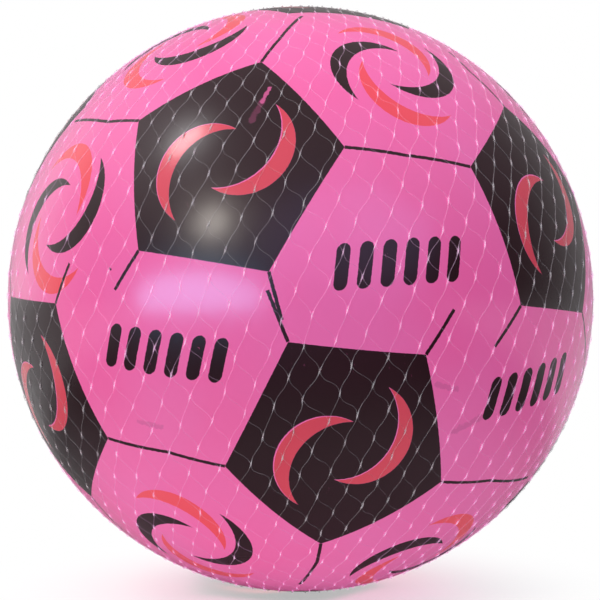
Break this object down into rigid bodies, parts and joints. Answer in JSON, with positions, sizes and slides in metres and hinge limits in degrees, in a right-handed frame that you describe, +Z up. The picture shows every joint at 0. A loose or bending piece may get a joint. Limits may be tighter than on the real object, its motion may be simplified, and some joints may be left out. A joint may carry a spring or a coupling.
{
  "type": "rubber play ball",
  "caption": "Round inflated play ball with a printed skin and a push-in valve plug, held in a diamond mesh net bag gathered and clipped at both ends.",
  "frame": {"origin": "centre of the flat place on the net where the ball rests, straight below the ball's centre", "axes": "+Z up, away from the floor; -Y towards the viewer of the picture; +X to the viewer's right"},
  "size_m": [0.2324, 0.2326, 0.2389],
  "materials": {
    "printed_skin": "glossy",
    "valve_vinyl": "satin",
    "plug_plastic": "satin",
    "net_nylon": "matte",
    "clip_metal": "satin"
  },
  "bodies": {
    "ball": {"ball_skin": "printed_skin", "valve_sleeve": "valve_vinyl", "net_bag": "net_nylon", "top_clip": "clip_metal", "bottom_clip": "clip_metal"},
    "plug": {"valve_plug": "plug_plastic"}
  },
  "joints": [
    {"name": "plug_pull", "type": "slide", "parent": "ball", "child": "plug", "axis": [-0.1196, 0.9749, 0.1881], "range_m": [0, 0.013]}
  ]
}
